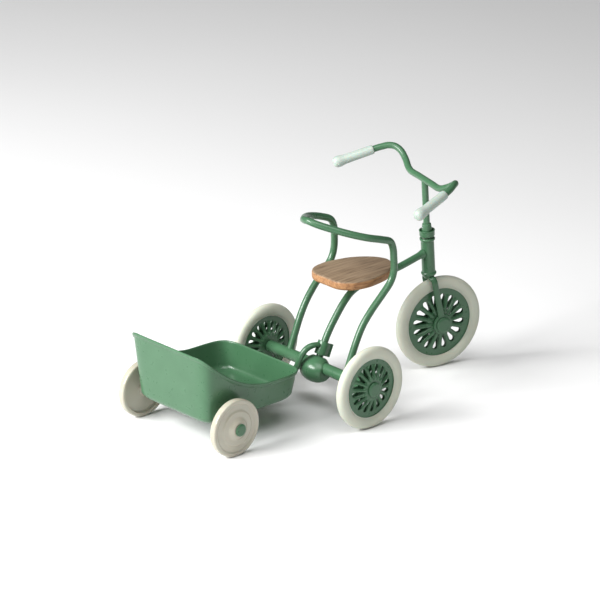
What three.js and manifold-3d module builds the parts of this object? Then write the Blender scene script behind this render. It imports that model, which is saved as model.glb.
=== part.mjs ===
// A small ride-on tricycle of bent steel rod with a clip-on trailer, as toy-sized metal goods.
// Millimetres, +Z up. The tricycle's front faces -Y and its left side is +X.
import * as THREE from 'three';
import { mergeVertices } from 'three/addons/utils/BufferGeometryUtils.js';
import Module from 'manifold-3d';

const wasm = await Module();
wasm.setup();

// ---------------------------------------------------------------- driving dimensions
const GAP = 0.3; // room left between pieces that touch or are welded

const ROD = 1.72; // radius of the bent frame rod
const BAR = 1.62; // radius of the stem and handlebar rod
const AXLE_Z = 20; // height of the rear axle, and the rear wheel's radius
const HALF_TRACK = 37; // from the centre plane to the middle of a rear wheel
const AXLE_TUBE = 2.8; // outer radius of the rear axle tube
const AXLE = 1.2; // radius of the wheel axles

const RAKE = THREE.MathUtils.degToRad(5.0); // lean of the steering axis, top to the rear
const STEER = THREE.MathUtils.degToRad(-12.3); // resting turn of the fork, to the right
const HEAD_FOOT = new THREE.Vector3(0, -72.2, 49.04); // foot of the head tube on the steering axis
const HEAD_LENGTH = 19.3;
const HEAD_TUBE = 3.25; // outer radius
const FRONT_RADIUS = 23.4;
const HUB_AHEAD = 3.94; // the front hub sits this far ahead of the steering axis
const HUB_DOWN = 26.08; // from the head tube's foot down to the front hub, along the axis
const STEM_TOP = 49.15; // handlebar height above the head tube's foot, along the axis
const BAR_TURN = THREE.MathUtils.degToRad(-2); // the handlebar sits turned a little on the stem

const TYRE_HALF = 2.55; // half the width of a tyre
const REAR_RIM = 14.3; // where tyre and wheel plate meet
const FRONT_RIM = 17.4;
const PLATE = 0.45; // sheet thickness of the wheel plates
const PLATE_IN = 0.45; // inner face of a plate's flat band, from the wheel's middle
const PLATE_DISH = 2.25; // how far the hub stands out from the flat band
const PLATE_LAP = 0.8; // how far a plate's edge reaches into the tyre
const SLOTS = 16;
const REAR_SPIN = THREE.MathUtils.degToRad(-4); // where the wheels have come to rest
const FRONT_SPIN = THREE.MathUtils.degToRad(-10.5);

const SEAT_TOP = 63.4;
const SEAT_THICK = 4.3;

const HOUSING_LEAN = THREE.MathUtils.degToRad(25); // lean of the pear housing and lower frame tube
const HOUSING_HALF = 7.3; // from the centre plane to the housing's flat ends
const HOUSING_NECK = 4.4; // from the axle up to the end of the housing's neck
const HITCH_UP = 8.6; // from the axle up to the middle of the hitch clip, along the lean
const CLIP_IN = 2.55;
const CLIP_SHEET = 0.6;
const CLIP_HEIGHT = 6.4;
const CLIP_TURN = THREE.MathUtils.degToRad(22); // the clip's mouth faces forward and a little to the left

const TRAILER_AXLE = new THREE.Vector3(10.2, 70.5, 13.8); // middle of the trailer's axle
const TRAILER_YAW = THREE.MathUtils.degToRad(1.24);
const TRAILER_HALF_TRACK = 32.3;
const TRAILER_AXLE_RADIUS = 0.9;
const TRAILER_WHEEL_HALF = 1.76;
const DRAWBAR = 1.5;
const TUB_SHEET = 0.8;
const TUB_FLOOR = 14.0; // underside of the tub
const TUB_LOW_RIM = 28.3;
const TUB_HIGH_RIM = 47.9;

// ---------------------------------------------------------------- colours
const GREEN = { color: 0x6a9a76, roughness: 0.42, metalness: 0.0 };
const RUBBER = { color: 0xc3c7b2, roughness: 0.75, metalness: 0.0 };
const GRIP = { color: 0xbac9bd, roughness: 0.5, metalness: 0.0 };
const WOOD = { color: 0xa98563, roughness: 0.65, metalness: 0.0 };
const CREAM = { color: 0xd9d4c2, roughness: 0.25, metalness: 0.0 };
const STEEL = { color: 0xb4b6b8, roughness: 0.35, metalness: 1.0 };
const NYLON = { color: 0xdedcd2, roughness: 0.55, metalness: 0.0 };

// ---------------------------------------------------------------- helpers
const point = (x, y, z) => new THREE.Vector3(x, y, z);
const mirrored = (p) => point(-p.x, p.y, p.z);

function piece(name, geometry, look, parent) {
  const mesh = new THREE.Mesh(geometry, new THREE.MeshStandardMaterial(look));
  mesh.name = name;
  parent.add(mesh);
  return mesh;
}

// A round bar that follows a smooth curve through the given points.
function bentRod(points, radius, steps, sides = 10) {
  const section = new THREE.Shape();
  section.absarc(0, 0, radius, 0, Math.PI * 2);
  const path = new THREE.CatmullRomCurve3(points, false, 'centripetal');
  return new THREE.ExtrudeGeometry(section, {
    steps, curveSegments: sides / 2, bevelEnabled: false, extrudePath: path,
  });
}

// A turned piece about Z, from [radius, height] pairs in either order round the section.
function turned(profile, segments = 26) {
  const outline = profile.map(([radius, height]) => new THREE.Vector2(radius, height));
  if (THREE.ShapeUtils.area(outline) < 0) outline.reverse();
  const geometry = new THREE.LatheGeometry(outline, segments);
  geometry.rotateX(Math.PI / 2);
  return geometry;
}

// A turned piece with a round bore: the profile closes on itself.
function turnedRing(profile, segments = 26) {
  return turned([...profile, profile[0]], segments);
}

function toSolid(geometry) {
  const clean = geometry.clone();
  clean.deleteAttribute('normal');
  clean.deleteAttribute('uv');
  const merged = mergeVertices(clean, 1e-4);
  const solid = new wasm.Manifold(new wasm.Mesh({
    numProp: 3,
    vertProperties: new Float32Array(merged.attributes.position.array),
    triVerts: new Uint32Array(merged.index.array),
  }));
  return solid;
}

function fromSolid(solid) {
  const mesh = solid.getMesh();
  const geometry = new THREE.BufferGeometry();
  geometry.setAttribute('position', new THREE.BufferAttribute(mesh.vertProperties, 3));
  geometry.setIndex(new THREE.BufferAttribute(mesh.triVerts, 1));
  geometry.computeVertexNormals();
  return geometry;
}

function cut(geometry, ...tools) {
  let solid = toSolid(geometry);
  for (const tool of tools) solid = solid.subtract(toSolid(tool));
  return fromSolid(solid);
}

function join(...geometries) {
  const [first, ...rest] = geometries.map(toSolid);
  return fromSolid(rest.reduce((whole, solid) => whole.add(solid), first));
}

// A round bar along X, centred on x = 0.
function crossBar(radius, length, segments = 24) {
  return new THREE.CylinderGeometry(radius, radius, length, segments).rotateZ(Math.PI / 2);
}

// ---------------------------------------------------------------- rear frame
function axleTube() {
  const half = HALF_TRACK - PLATE_IN - PLATE - PLATE_DISH - GAP;
  const wall = [[AXLE + GAP, -half], [AXLE_TUBE, -half], [AXLE_TUBE, half], [AXLE + GAP, half]];
  return turnedRing(wall, 24).rotateY(Math.PI / 2).translate(0, 0, AXLE_Z);
}

// The pear-shaped casting that ties the frame tube to the axle tube.
function axleHousing() {
  const profile = [
    [0, -8.2], [2.9, -7.7], [5.2, -6.0], [6.3, -3.8], [6.6, -1.8], [6.3, -0.2], [5.6, 1.3],
    [4.7, 2.5], [3.7, 3.6], [2.7, HOUSING_NECK], [0, HOUSING_NECK],
  ];
  const pear = turned(profile).scale(1.2, 1, 1).rotateX(HOUSING_LEAN).translate(0, 0, AXLE_Z);
  const ends = [-1, 1].map((side) => (
    new THREE.BoxGeometry(4, 30, 30).translate(side * (HOUSING_HALF + 2), 0, AXLE_Z)
  ));
  return cut(pear, crossBar(AXLE_TUBE + GAP, 20).translate(0, 0, AXLE_Z), ...ends);
}

// Where the leaning lower part of the frame tube is, at a distance above the axle.
function upHousing(distance) {
  const back = -Math.sin(HOUSING_LEAN) * distance;
  return point(0, back, AXLE_Z + Math.cos(HOUSING_LEAN) * distance);
}

function frameTube() {
  const path = [
    upHousing(HOUSING_NECK + GAP), upHousing(9), upHousing(14), point(0, -8.5, 37.0), point(0, -11.8, 41.6),
    point(0, -16.8, 47.7), point(0, -21.3, 51.6), point(0, -27.5, 54.0), point(0, -38, 55.6), point(0, -52, 57.2),
    point(0, -70, 60.8),
  ];
  return cut(bentRod(path, ROD, 30), headKeepOut());
}

// The single rod that is both rear legs, both uprights and the hoop round the seat's back.
function seatLoop() {
  const half = [
    point(20.0, -0.9, 20.8), point(20.0, -2.4, 25.4), point(20.0, -4.2, 30.0), point(20.1, -6.7, 36.1),
    point(20.2, -10.5, 43.3), point(20.5, -15.7, 49.8), point(20.8, -22.6, 56.6), point(20.9, -27.3, 61.6),
    point(21.0, -29.1, 66.6), point(20.8, -29.1, 73.0), point(20.7, -28.6, 77.8), point(20.9, -26.6, 81.6),
    point(21.6, -20.6, 84.2), point(20.4, -12.8, 86.5), point(16.2, -6.2, 88.5), point(9.6, 0.5, 90.9),
    point(4.4, 5.0, 92.8),
  ];
  const path = [...half, point(0, 6.5, 93.7), ...half.map(mirrored).reverse()];
  const keepOut = crossBar(AXLE_TUBE + GAP, 60).translate(0, 0, AXLE_Z);
  const under = new THREE.BoxGeometry(60, 12, 12).translate(0, 0, AXLE_Z - 6);
  return cut(bentRod(path, ROD, 68), keepOut, under);
}

// ---------------------------------------------------------------- seat
function seatOutline() {
  const half = [[8.8, -5.0], [14.4, -9.4], [16.7, -17.5], [15.9, -25.5], [14.0, -32.5], [10.6, -38.0], [6.0, -42.6]];
  const ring = [[0, -4.4], ...half, [0, -44.8], ...half.map(([x, y]) => [-x, y]).reverse()];
  const curve = new THREE.CatmullRomCurve3(ring.map(([x, y]) => point(x, y, 0)), true, 'centripetal');
  return new THREE.Shape(curve.getSpacedPoints(44).slice(0, 44).map((p) => new THREE.Vector2(p.x, p.y)));
}

const BRACKET_Y = -30; // middle of the seat bracket
const BRACKET_TOP = SEAT_TOP - SEAT_THICK - GAP;
const SCREW_X = 5.2;

// An upright round hole through both seat screws' places, from a foot height up to a top height.
function screwHoles(radius, foot, top) {
  return [-SCREW_X, SCREW_X].map((x) => (
    new THREE.CylinderGeometry(radius, radius, top - foot, 12).rotateX(Math.PI / 2)
      .translate(x, BRACKET_Y, (top + foot) / 2)
  ));
}

function seatBoard() {
  const round = 0.9;
  const board = new THREE.ExtrudeGeometry(seatOutline(), {
    depth: SEAT_THICK - 2 * round, bevelThickness: round, bevelSize: round, bevelOffset: -round, bevelSegments: 2,
  }).translate(0, 0, SEAT_TOP - SEAT_THICK + round);
  return cut(board, ...screwHoles(1.0, SEAT_TOP - SEAT_THICK - 1, SEAT_TOP - 1));
}

// A folded channel under the seat: its top carries the board and its sides straddle the frame tube.
function seatBracket() {
  const inside = ROD + GAP;
  const sheet = 0.8;
  const wing = 7.5;
  const drop = 5.4;
  const shape = new THREE.Shape();
  shape.moveTo(-wing, 0);
  shape.lineTo(-wing, -sheet);
  shape.lineTo(-inside - sheet, -sheet);
  shape.lineTo(-inside - sheet, -drop);
  shape.lineTo(-inside, -drop);
  shape.lineTo(-inside, -sheet);
  shape.lineTo(inside, -sheet);
  shape.lineTo(inside, -drop);
  shape.lineTo(inside + sheet, -drop);
  shape.lineTo(inside + sheet, -sheet);
  shape.lineTo(wing, -sheet);
  shape.lineTo(wing, 0);
  const channel = new THREE.ExtrudeGeometry(shape, { depth: 12, bevelEnabled: false });
  channel.rotateX(Math.PI / 2).translate(0, BRACKET_Y + 6, BRACKET_TOP);
  return cut(channel, ...screwHoles(1.0, BRACKET_TOP - 2, BRACKET_TOP + 1));
}

// A pan-headed screw that points up into the board.
function seatScrew(x) {
  const foot = BRACKET_TOP - 0.8 - GAP;
  const profile = [[0, -1.0], [1.1, -0.9], [1.5, -0.4], [1.5, 0], [0.7, 0], [0.7, 3.6], [0, 4.3]];
  return turned(profile, 12).translate(x, BRACKET_Y, foot);
}

// ---------------------------------------------------------------- wheels
// A tyre about Z: a fat bead, with a groove inside that holds the edges of both plates.
function tyre(radius, rim) {
  const crown = radius - 2.6;
  const groove = rim + PLATE_LAP + GAP;
  const grooveHalf = PLATE_IN + PLATE + GAP;
  const half = [
    [groove, grooveHalf], [rim, grooveHalf], [rim, 1.8], [crown - 0.9, TYRE_HALF],
    [crown + 0.9, TYRE_HALF - 0.15], [radius - 0.5, TYRE_HALF / 2],
  ];
  const other = half.map(([r, z]) => [r, -z]).reverse();
  return turnedRing([...half, [radius, 0], ...other], 36);
}

// One teardrop slot, wide and round at the rim end, narrow at the hub end.
function slotPath(angle, inner, outer, wide) {
  const narrow = wide * 0.3;
  const corners = [
    [inner, -narrow], [outer - wide, -wide], [outer - wide * 0.2, -wide * 0.6], [outer, 0],
    [outer - wide * 0.2, wide * 0.6], [outer - wide, wide], [inner, narrow],
  ];
  const turn = ([x, y]) => new THREE.Vector2(
    x * Math.cos(angle) - y * Math.sin(angle),
    x * Math.sin(angle) + y * Math.cos(angle),
  );
  return new THREE.Path(corners.map(turn));
}

// A dished and slotted sheet disc about Z, standing out towards +Z at the hub.
function wheelPlate(rim) {
  const edge = rim + PLATE_LAP;
  const slotStart = rim * 0.42;
  const slotEnd = rim * 0.83;
  const disc = new THREE.Shape();
  disc.absarc(0, 0, edge, 0, Math.PI * 2);
  const bore = new THREE.Path();
  bore.absarc(0, 0, AXLE + GAP, 0, Math.PI * 2);
  disc.holes.push(bore);
  for (let i = 0; i < SLOTS; i += 1) {
    disc.holes.push(slotPath((i * 2 * Math.PI) / SLOTS, slotStart, slotEnd, rim * 0.075));
  }
  const geometry = new THREE.ExtrudeGeometry(disc, { depth: PLATE, bevelEnabled: false, curveSegments: 16 });
  const at = geometry.attributes.position;
  for (let i = 0; i < at.count; i += 1) {
    const reach = Math.hypot(at.getX(i), at.getY(i));
    const rise = THREE.MathUtils.clamp((slotEnd - reach) / (slotEnd - slotStart), 0, 1);
    at.setZ(i, at.getZ(i) + PLATE_IN + PLATE_DISH * rise);
  }
  return geometry;
}

function hubSleeve() {
  const half = PLATE_IN + PLATE_DISH - 3 * GAP;
  return turnedRing([[AXLE + GAP, -half], [2.4, -half], [2.4, half], [AXLE + GAP, half]], 20);
}

// A domed cap about Z that closes an axle end; its flat back is at z = 0.
function hubCap(radius, height) {
  return turned([[0, 0], [radius, 0], [radius, height * 0.45], [radius * 0.8, height * 0.85], [0, height]], 20);
}

// A whole wheel in a group whose X axis is the wheel's axis.
function wheel(prefix, radius, rim) {
  const group = new THREE.Group();
  piece(`${prefix}_tyre`, tyre(radius, rim), RUBBER, group).rotation.y = Math.PI / 2;
  piece(`${prefix}_plate_left`, wheelPlate(rim), GREEN, group).rotation.y = Math.PI / 2;
  piece(`${prefix}_plate_right`, wheelPlate(rim), GREEN, group).rotation.y = -Math.PI / 2;
  piece(`${prefix}_hub_sleeve`, hubSleeve(), STEEL, group).rotation.y = Math.PI / 2;
  return group;
}

// ---------------------------------------------------------------- head and steering
// Local frame of the head: origin at the foot of the head tube, Z up the steering axis.
const head = new THREE.Group();
head.position.copy(HEAD_FOOT);
head.rotation.x = -RAKE;

const BUSH_BORE = BAR + GAP;
const TUBE_BORE = 2.5;

function headTube() {
  const profile = [
    [TUBE_BORE, 0], [3.4, 0], [3.75, 0.4], [3.75, 1.1], [HEAD_TUBE, 1.7], [HEAD_TUBE, HEAD_LENGTH - 1.7],
    [3.75, HEAD_LENGTH - 1.1], [3.75, HEAD_LENGTH - 0.4], [3.4, HEAD_LENGTH], [TUBE_BORE, HEAD_LENGTH],
  ];
  return turnedRing(profile);
}

function headKeepOut() {
  const reach = new THREE.CylinderGeometry(HEAD_TUBE + GAP, HEAD_TUBE + GAP, HEAD_LENGTH, 32);
  return reach.rotateX(Math.PI / 2).translate(0, 0, HEAD_LENGTH / 2).rotateX(-RAKE)
    .translate(HEAD_FOOT.x, HEAD_FOOT.y, HEAD_FOOT.z);
}

function headBush(foot) {
  const top = foot + 3.5;
  return turnedRing([[BUSH_BORE, foot], [TUBE_BORE - 0.1, foot], [TUBE_BORE - 0.1, top], [BUSH_BORE, top]], 24);
}

function collarCup() {
  const foot = HEAD_LENGTH + 0.6;
  const profile = [
    [BUSH_BORE, foot], [3.3, foot], [3.75, foot + 0.6], [3.75, foot + 2.6], [3.9, foot + 3.3],
    [3.4, foot + 3.4], [3.1, foot + 2.6], [3.0, foot + 1.2], [BUSH_BORE, foot + 1.0],
  ];
  return turnedRing(profile);
}

const CONE_FOOT = HEAD_LENGTH + 0.6 + 1.0 + GAP;

function stemCone() {
  const profile = [
    [BUSH_BORE, CONE_FOOT], [2.6, CONE_FOOT], [2.6, CONE_FOOT + 1.2], [2.15, CONE_FOOT + 5.2],
    [BUSH_BORE, CONE_FOOT + 5.4],
  ];
  return cut(turnedRing(profile), grubHole());
}

const GRUB_Z = CONE_FOOT + 3.6;
const GRUB_ANGLE = THREE.MathUtils.degToRad(75); // from the left side round towards the rear

function grubHole() {
  const hole = new THREE.CylinderGeometry(0.75, 0.75, 4, 14).rotateZ(Math.PI / 2).translate(3, 0, GRUB_Z);
  return hole.rotateZ(GRUB_ANGLE);
}

function grubScrew() {
  const shank = new THREE.CylinderGeometry(0.45, 0.45, 0.5, 12).rotateZ(Math.PI / 2);
  return shank.translate(BUSH_BORE + 0.15, 0, GRUB_Z).rotateZ(GRUB_ANGLE);
}

function stemRod() {
  const foot = 0.1;
  const top = STEM_TOP - BAR - GAP;
  return turned([[0, foot], [BAR, foot], [BAR, top], [0, top]], 24);
}

const GRIP_START = point(35.2, 8.6, 55.3);
const GRIP_ALONG = point(5.8, 17.9, -4.7).normalize();
const GRIP_BORE_DEPTH = 19.1;

function alongGrip(distance) {
  return GRIP_START.clone().addScaledVector(GRIP_ALONG, distance);
}

// From the stem across, then swept up and forward, then back and down to the grips.
function handlebarPath() {
  const half = [
    point(7, 0, STEM_TOP), point(13.4, 0, STEM_TOP), point(16.8, -0.4, STEM_TOP + 0.9), point(21.6, -1.6, 52.4),
    point(26.2, -1.7, 55.2), point(29.3, -0.4, 56.7), point(31.8, 2.0, 57.0), point(33.6, 4.7, 56.3),
    alongGrip(-1.6), alongGrip(0), alongGrip(8), alongGrip(GRIP_BORE_DEPTH - 1),
  ];
  return [...half.map(mirrored).reverse(), point(0, 0, STEM_TOP), ...half];
}

function grip(side) {
  const start = side > 0 ? GRIP_START : mirrored(GRIP_START);
  const along = side > 0 ? GRIP_ALONG : mirrored(GRIP_ALONG);
  const bore = BAR + 0.15;
  const profile = [
    [0, GRIP_BORE_DEPTH], [bore, GRIP_BORE_DEPTH], [bore, 0], [2.1, 0], [2.3, 1.3], [2.35, 14.4], [2.6, 16.1],
    [2.85, 17.6], [2.7, 19.0], [1.7, 20.2], [0, 20.6],
  ];
  const shape = turned(profile, 24);
  shape.applyQuaternion(new THREE.Quaternion().setFromUnitVectors(point(0, 0, 1), along));
  return shape.translate(start.x, start.y, start.z);
}

const LEG_IN = PLATE_IN + PLATE + PLATE_DISH + 0.6; // inner face of the fork's eyes
const LEG_THICK = 1.6;
const FORK_ROUND = 2.6; // radius of the crown's outer corners

// A fork of one flattened rod: crown above the tyre, two legs, and an eye at each end.
function fork() {
  const legX = LEG_IN + LEG_THICK / 2;
  const outline = new THREE.Shape();
  const topZ = -0.45;
  const outer = legX + LEG_THICK / 2;
  const inner = legX - LEG_THICK / 2;
  outline.moveTo(outer, -HUB_DOWN);
  outline.lineTo(outer, topZ - FORK_ROUND);
  outline.absarc(outer - FORK_ROUND, topZ - FORK_ROUND, FORK_ROUND, 0, Math.PI / 2);
  outline.absarc(-outer + FORK_ROUND, topZ - FORK_ROUND, FORK_ROUND, Math.PI / 2, Math.PI);
  outline.lineTo(-outer, -HUB_DOWN);
  outline.lineTo(-inner, -HUB_DOWN);
  outline.lineTo(-inner, topZ - 3.2);
  outline.absarc(-inner + 1.3, topZ - 3.2, 1.3, Math.PI, Math.PI / 2, true);
  outline.absarc(inner - 1.3, topZ - 3.2, 1.3, Math.PI / 2, 0, true);
  outline.lineTo(inner, -HUB_DOWN);
  const widthHalf = 1.7;
  const arch = new THREE.ExtrudeGeometry(outline, { depth: 2 * widthHalf, bevelEnabled: false, curveSegments: 6 });
  arch.rotateX(Math.PI / 2).translate(0, widthHalf, 0);
  const at = arch.attributes.position;
  for (let i = 0; i < at.count; i += 1) {
    const down = THREE.MathUtils.clamp(-at.getZ(i) / HUB_DOWN, 0, 1);
    at.setY(i, at.getY(i) * (0.8 + 0.3 * down) - HUB_AHEAD * down);
  }
  const eyes = [-1, 1].map((side) => (
    crossBar(5.0, LEG_THICK, 28).translate(side * legX, -HUB_AHEAD, -HUB_DOWN)
  ));
  const bore = crossBar(AXLE + 0.1, 30, 20).translate(0, -HUB_AHEAD, -HUB_DOWN);
  return cut(join(arch, ...eyes), bore);
}

// ---------------------------------------------------------------- trailer
// Local frame: origin on the floor under the middle of the axle, Y to the rear.
const trailer = new THREE.Group();
trailer.position.set(TRAILER_AXLE.x, TRAILER_AXLE.y, 0);
trailer.rotation.z = TRAILER_YAW;

const TUB_MIDDLE = -18.3; // the widest place of the tub, along Y
const TUB_WIDE = 28.3; // half the width
const TUB_REAR = 32.0;
const TUB_FRONT = 29.5;
const TUB_ROUND = 3.8; // radius of the bend between wall and floor
const TUB_LEAN = { side: 2.5, rear: 3.7, front: 1.7 }; // how far the walls draw in from rim to bend

// One ring of the tub: a squared oval, squarer at the rear, drawn in by the given insets.
function tubPlan(angle, side, rear, front) {
  const behind = Math.sin(angle) > 0;
  const power = 2 / (behind ? 9.8 : 7.6);
  const squared = (value) => Math.sign(value) * Math.abs(value) ** power;
  const reach = behind ? TUB_REAR - rear : TUB_FRONT - front;
  return [squared(Math.cos(angle)) * (TUB_WIDE - side), TUB_MIDDLE + squared(Math.sin(angle)) * reach];
}

function tubRim(y) {
  const along = THREE.MathUtils.clamp((y + 26.4) / 39.9, 0, 1);
  return TUB_LOW_RIM + (TUB_HIGH_RIM - TUB_LOW_RIM) * along ** 1.96;
}

// Even steps of the oval's angle crowd its corners, so these steps even out its outline instead.
function tubAngles() {
  const fine = 1440;
  const reach = [0];
  let [x0, y0] = tubPlan(0, 0, 0, 0);
  for (let i = 1; i <= fine; i += 1) {
    const [x, y] = tubPlan((i / fine) * 2 * Math.PI, 0, 0, 0);
    reach.push(reach[i - 1] + Math.hypot(x - x0, y - y0));
    [x0, y0] = [x, y];
  }
  const steps = 64;
  const angles = [];
  for (let i = 0, at = 0; i < steps; i += 1) {
    while (reach[at] < (i / steps) * reach[fine]) at += 1;
    angles.push((at / fine) * 2 * Math.PI);
  }
  return angles;
}

// A point of the wall, drawn in by a share of its lean and then by an inset.
function drawnIn(angle, share, inset) {
  const { side, rear, front } = TUB_LEAN;
  return tubPlan(angle, side * share + inset, rear * share + inset, front * share + inset);
}

// Rings from the rim down the wall, round the bend and in to the middle of the floor.
function tubSkin(thick) {
  const bendTop = TUB_FLOOR + TUB_ROUND;
  const radius = TUB_ROUND - thick;
  const bends = [0, 30, 60, 90].map(THREE.MathUtils.degToRad);
  const angles = tubAngles();
  const rings = [];
  for (const share of [0, 0.5]) {
    rings.push(angles.map((angle) => {
      const [x, y] = drawnIn(angle, share, thick);
      return [x, y, THREE.MathUtils.lerp(tubRim(y), bendTop, share)];
    }));
  }
  for (const bend of bends) {
    const inset = radius * (1 - Math.cos(bend)) + thick;
    rings.push(angles.map((angle) => {
      const [x, y] = drawnIn(angle, 1, inset);
      return [x, y, bendTop - radius * Math.sin(bend)];
    }));
  }
  return rings;
}

// A closed skin through a stack of rings, with a middle point to close each end.
function closedSkin(rings, firstMiddle, lastMiddle) {
  const around = rings[0].length;
  const positions = rings.flat(2);
  const triangles = [];
  for (let ring = 0; ring + 1 < rings.length; ring += 1) {
    for (let i = 0; i < around; i += 1) {
      const next = (i + 1) % around;
      const low = ring * around;
      const high = low + around;
      triangles.push(low + i, low + next, high + next, low + i, high + next, high + i);
    }
  }
  const middle = positions.length / 3;
  positions.push(0, TUB_MIDDLE, firstMiddle, 0, TUB_MIDDLE, lastMiddle);
  const last = (rings.length - 1) * around;
  for (let i = 0; i < around; i += 1) {
    const next = (i + 1) % around;
    triangles.push(middle, next, i, middle + 1, last + i, last + next);
  }
  const geometry = new THREE.BufferGeometry();
  geometry.setAttribute('position', new THREE.Float32BufferAttribute(positions, 3));
  geometry.setIndex(triangles);
  geometry.computeVertexNormals();
  return geometry;
}

// The tub, with a ridge pressed up across its floor that makes room for the axle.
function trailerTub() {
  const outside = tubSkin(0).reverse();
  const shell = closedSkin([...outside, ...tubSkin(TUB_SHEET)], TUB_FLOOR, TUB_FLOOR + TUB_SHEET);
  const filled = closedSkin(outside, TUB_FLOOR, TUB_LOW_RIM);
  const room = TRAILER_AXLE_RADIUS + GAP;
  const ridge = crossBar(room + TUB_SHEET, 2 * TUB_WIDE).translate(0, 0, TRAILER_AXLE.z);
  const roomAbove = crossBar(room, 3 * TUB_WIDE).translate(0, 0, TRAILER_AXLE.z);
  const roomBelow = new THREE.BoxGeometry(3 * TUB_WIDE, 2 * room, 8).translate(0, 0, TRAILER_AXLE.z - 4);
  const solid = toSolid(ridge).intersect(toSolid(filled)).add(toSolid(shell));
  return fromSolid(solid.subtract(toSolid(roomAbove)).subtract(toSolid(roomBelow)));
}

// The hitch, and other places of the tricycle's frame, in the trailer's own frame.
trailer.updateMatrixWorld(true);
const inTrailer = (x, y, z) => trailer.worldToLocal(point(x, y, z));
const hitch = trailer.worldToLocal(upHousing(HITCH_UP));

// The rod from the clip, down behind the axle housing and back under the tub to the axle.
function drawbar() {
  const under = TUB_FLOOR - GAP - DRAWBAR;
  const path = [
    inTrailer(0.3, -2.2, 30.3), inTrailer(1.0, 2.5, 30.1), inTrailer(2.0, 5.2, 28.6), inTrailer(3.3, 7.3, 24.9),
    inTrailer(4.5, 8.6, 20.0), inTrailer(6.0, 10.5, 16.0), inTrailer(7.6, 14.9, under), inTrailer(9.6, 23.5, under),
    point(0, -30, under), point(0, -12, under), point(0, -TRAILER_AXLE_RADIUS - GAP, under),
  ];
  const outside = CLIP_IN + CLIP_SHEET + GAP;
  const clipKeepOut = new THREE.CylinderGeometry(outside, outside, 2 * CLIP_HEIGHT, 32).rotateX(Math.PI / 2);
  clipKeepOut.rotateX(HOUSING_LEAN).translate(hitch.x, hitch.y, hitch.z);
  return cut(bentRod(path, DRAWBAR, 38), clipKeepOut);
}

// The outline of a thin strip that follows a line of [x, y] points.
function stripOutline(line, thick) {
  const side = (offset) => line.map(([x, y], i) => {
    const [x0, y0] = line[Math.max(i - 1, 0)];
    const [x1, y1] = line[Math.min(i + 1, line.length - 1)];
    const length = Math.hypot(x1 - x0, y1 - y0);
    return new THREE.Vector2(x - (offset * (y1 - y0)) / length, y + (offset * (x1 - x0)) / length);
  });
  return new THREE.Shape([...side(-thick / 2), ...side(thick / 2).reverse()]);
}

// A spring strap bent round the frame tube, open to the front, with flared lips.
function hitchClip() {
  const reach = 104; // the strap reaches this many degrees to each side of its back
  const radius = CLIP_IN + CLIP_SHEET / 2;
  const arc = [];
  for (let degrees = -reach; degrees <= reach; degrees += 13) {
    const angle = THREE.MathUtils.degToRad(90 + degrees);
    arc.push([radius * Math.cos(angle), radius * Math.sin(angle)]);
  }
  const [endX, endY] = arc[0];
  const lip = [[endX + 1.1, endY - 1.5], [endX + 0.3, endY - 0.8]];
  const otherLip = lip.map(([x, y]) => [-x, y]).reverse();
  const strap = stripOutline([...lip, ...arc, ...otherLip], CLIP_SHEET);
  const geometry = new THREE.ExtrudeGeometry(strap, { depth: CLIP_HEIGHT, bevelEnabled: false });
  geometry.translate(0, 0, -CLIP_HEIGHT / 2).rotateZ(CLIP_TURN).rotateX(HOUSING_LEAN);
  return geometry.translate(hitch.x, hitch.y, hitch.z);
}

function trailerAxle() {
  const end = TRAILER_HALF_TRACK + 3.9;
  const stop = TRAILER_HALF_TRACK - TRAILER_WHEEL_HALF - GAP;
  const rod = TRAILER_AXLE_RADIUS;
  const half = [[rod, stop - 0.8], [1.7, stop - 0.8], [1.7, stop], [rod, stop], [rod, end], [0, end]];
  const other = half.map(([r, z]) => [r, -z]).reverse();
  return turned([...other, ...half], 20).rotateY(Math.PI / 2);
}

// A moulded disc wheel about Z: stepped rings and a dome towards +Z, a plain recess behind.
function trailerWheel() {
  const bore = TRAILER_AXLE_RADIUS + GAP;
  const radius = TRAILER_AXLE.z;
  const w = TRAILER_WHEEL_HALF;
  const profile = [
    [bore, -w], [3.2, -w], [3.2, -0.4], [11.7, -0.4], [11.9, -w], [13.3, -w], [radius, -w + 0.5], [radius, w - 0.5],
    [13.3, w], [11.9, w], [11.3, w - 0.5], [8.9, w - 0.3], [8.3, w + 0.3], [5.6, w + 0.5], [4.4, w + 1.6],
    [3.4, w + 2.1], [bore, w + 2.1],
  ];
  return turnedRing(profile, 28);
}

// ---------------------------------------------------------------- assembly
const object = new THREE.Group();
const assembly = new THREE.Group();
object.add(assembly);

function addRearFrame() {
  piece('axle_tube', axleTube(), GREEN, assembly);
  piece('axle_housing', axleHousing(), GREEN, assembly);
  piece('frame_tube', frameTube(), GREEN, assembly);
  piece('seat_loop', seatLoop(), GREEN, assembly);
  piece('seat_board', seatBoard(), WOOD, assembly);
  piece('seat_bracket', seatBracket(), GREEN, assembly);
  piece('seat_screw_left', seatScrew(SCREW_X), STEEL, assembly);
  piece('seat_screw_right', seatScrew(-SCREW_X), STEEL, assembly);
  const reach = HALF_TRACK + PLATE_IN + PLATE + PLATE_DISH + GAP;
  piece('rear_axle', crossBar(AXLE, 2 * (reach - GAP)), STEEL, assembly).position.z = AXLE_Z;
  for (const [name, side] of [['left', 1], ['right', -1]]) {
    const rolling = wheel(`rear_${name}`, AXLE_Z, REAR_RIM);
    rolling.position.set(side * HALF_TRACK, 0, AXLE_Z);
    rolling.rotation.x = REAR_SPIN;
    assembly.add(rolling);
    const cap = piece(`rear_${name}_cap`, hubCap(3.6, 1.0), GREEN, assembly);
    cap.position.set(side * reach, 0, AXLE_Z);
    cap.rotation.y = (side * Math.PI) / 2;
  }
}

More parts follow.
